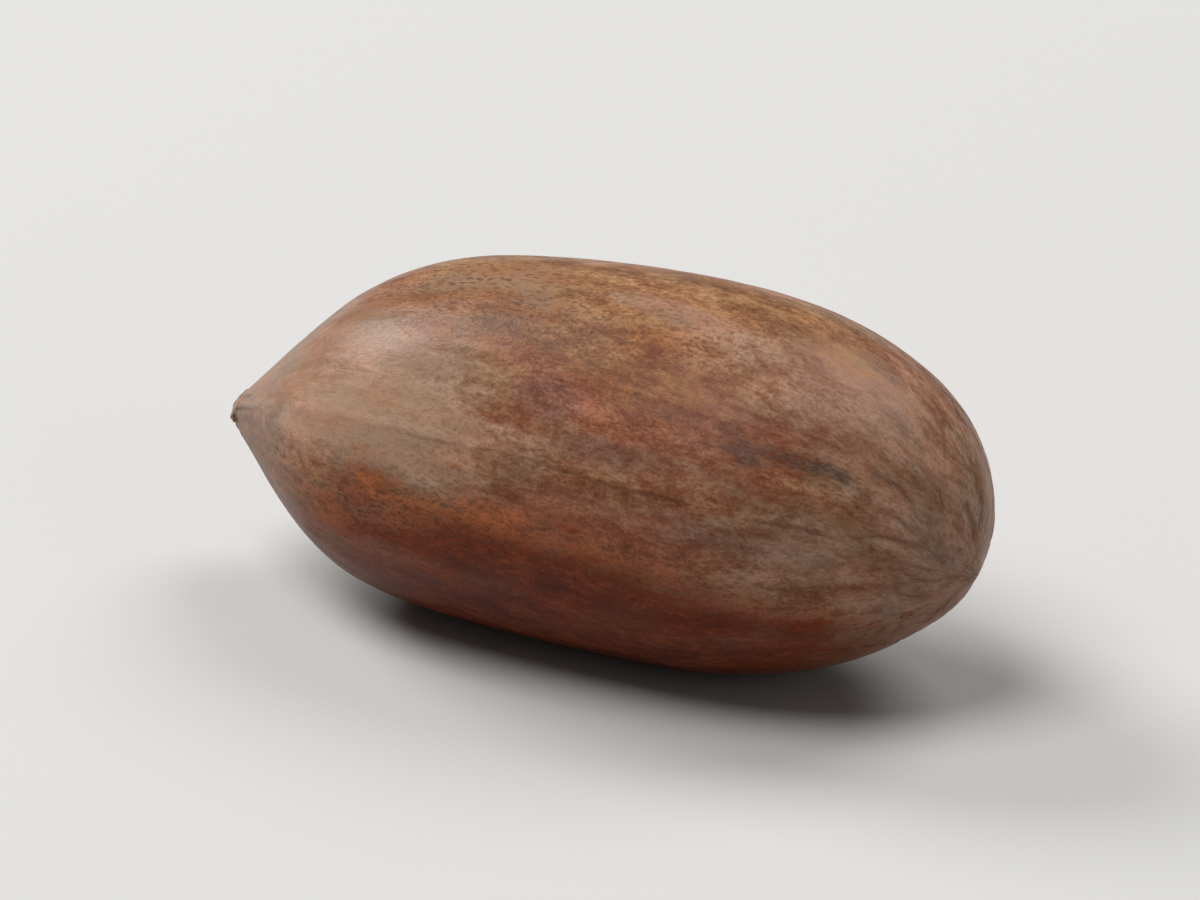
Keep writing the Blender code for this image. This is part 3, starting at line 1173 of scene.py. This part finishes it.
def aimed(thing, place, target):
    """Puts a light or camera at a place, looking at the target."""
    thing.location = place
    thing.rotation_mode = "QUATERNION"
    thing.rotation_quaternion = (target - place).to_track_quat("-Z", "Y")


def direction(azimuth, elevation):
    """From the nut towards a light or the camera. Azimuth 0 is in front, towards -Y."""
    level = math.cos(elevation)
    return Vector((math.sin(azimuth) * level, -math.cos(azimuth) * level, math.sin(elevation)))


def studio_paper(stage):
    """The plain pale finish of the floor."""
    paper = bpy.data.materials.new("studio_paper")
    paper.use_nodes = True
    shader = paper.node_tree.nodes["Principled BSDF"]
    shader.inputs["Base Color"].default_value = opaque(stage.floor)
    shader.inputs["Roughness"].default_value = PAPER_ROUGHNESS
    shader.inputs["Specular IOR Level"].default_value = PAPER_GLOSS
    return paper


def lay_floor(stage, place):
    """A flat square floor with its middle at a place."""
    bpy.ops.mesh.primitive_plane_add(size=stage.floor_size, location=place)
    floor = bpy.context.object
    floor.name = "studio_floor"
    floor.data.materials.append(studio_paper(stage))


def studio_sky(stage):
    """Weak white light from all round."""
    sky = bpy.data.worlds.new("studio_sky")
    sky.use_nodes = True
    background = sky.node_tree.nodes["Background"]
    background.inputs["Color"].default_value = opaque(SKY_COLOUR)
    background.inputs["Strength"].default_value = stage.sky
    return sky


def add_lamps(stage, target):
    """Round area lamps, all at one distance from the target."""
    for name, (azimuth, elevation, size, power) in LAMPS.items():
        lamp = bpy.data.lights.new(name, "AREA")
        lamp.shape = "DISK"
        lamp.size = size
        lamp.energy = getattr(stage, power)
        way = direction(math.radians(azimuth), math.radians(elevation))
        aimed(object_in_scene(name, lamp), target + way * LAMP_DISTANCE, target)


def studio_camera(stage, target):
    """The camera, with a long lens, looking at the target."""
    lens = bpy.data.cameras.new("camera")
    lens.lens = stage.lens
    lens.sensor_width = SENSOR_WIDTH
    lens.clip_start = NEAREST_SEEN
    lens.clip_end = FARTHEST_SEEN
    camera = object_in_scene("camera", lens)
    aimed(camera, target + direction(stage.azimuth, stage.elevation) * stage.distance, target)
    return camera


class PECAN_OT_shell(bpy.types.Operator):
    """Build the shell as one closed surface and give it its markings"""

    bl_idname = "pecan.shell"
    bl_label = "Build the shell"

    def execute(self, context):
        form, finish = context.scene.pecan_form, context.scene.pecan_finish
        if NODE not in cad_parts:
            raise RuntimeError("the packed model has no pecan to build around")
        station, turn = grid_places(form)
        creased = line_share(station, turn, creases(), form)
        ridged = line_share(station, turn, RIDGES, form)
        points, radius = shell_points(station, turn, creased, ridged, form)
        quads, triangles = grid_faces(form)
        mesh = mesh_from("pecan_shell", set_down(points, form), quads, triangles)
        add_attribute(mesh, "grain", "FLOAT_VECTOR", "vector", grain_places(station, turn, radius, form))
        coats = coat_shares(station, turn)
        marks = mark_shares(station, turn, radius, coats, form)
        marks.update(creases=creased, ridges=ridged)
        for name, share in (*coats.items(), *marks.items()):
            add_attribute(mesh, name, "FLOAT", "value", share)
        mesh.materials.append(shell_finish(finish))
        shell = object_in_scene("pecan_shell", mesh)
        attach(shell, BODY)
        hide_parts(NODE)
        return {"FINISHED"}


class PECAN_OT_stage(bpy.types.Operator):
    """Set out the floor, the lights and the camera"""

    bl_idname = "pecan.stage"
    bl_label = "Set the stage"

    def execute(self, context):
        stage = context.scene.pecan_stage
        low, high = (Vector(corner) for corner in cad_box)
        middle = (low + high) / 2
        lay_floor(stage, (middle.x, middle.y, low.z))
        context.scene.world = studio_sky(stage)
        add_lamps(stage, middle)
        context.scene.camera = studio_camera(stage, middle)
        context.scene.view_settings.view_transform = "Standard"
        return {"FINISHED"}


class PECAN_PT_panel(bpy.types.Panel):
    """Lists the steps that build the pecan and its stage, each with its settings"""

    bl_idname = "PECAN_PT_panel"
    bl_label = "Pecan in shell"
    bl_space_type = "VIEW_3D"
    bl_region_type = "UI"
    bl_category = "Pecan"

    def draw(self, context):
        scene = context.scene
        self.layout.operator("pecan.shell")
        self.list_settings(scene.pecan_form)
        self.list_settings(scene.pecan_finish)
        self.layout.operator("pecan.stage")
        self.list_settings(scene.pecan_stage)

    def list_settings(self, settings):
        """Shows every setting of one group."""
        for name in settings.bl_rna.properties.keys():
            if name not in ("rna_type", "name"):
                self.layout.prop(settings, name)


CLASSES = (ShellForm, ShellFinish, StudioStage, PECAN_OT_shell, PECAN_OT_stage, PECAN_PT_panel)


def register():
    for made in CLASSES:
        bpy.utils.register_class(made)
    bpy.types.Scene.pecan_form = PointerProperty(type=ShellForm)
    bpy.types.Scene.pecan_finish = PointerProperty(type=ShellFinish)
    bpy.types.Scene.pecan_stage = PointerProperty(type=StudioStage)


def unregister():
    del bpy.types.Scene.pecan_stage
    del bpy.types.Scene.pecan_finish
    del bpy.types.Scene.pecan_form
    for made in reversed(CLASSES):
        bpy.utils.unregister_class(made)


def main():
    register()
    bpy.ops.pecan.shell()
    bpy.ops.pecan.stage()


if __name__ == "__main__":
    main()
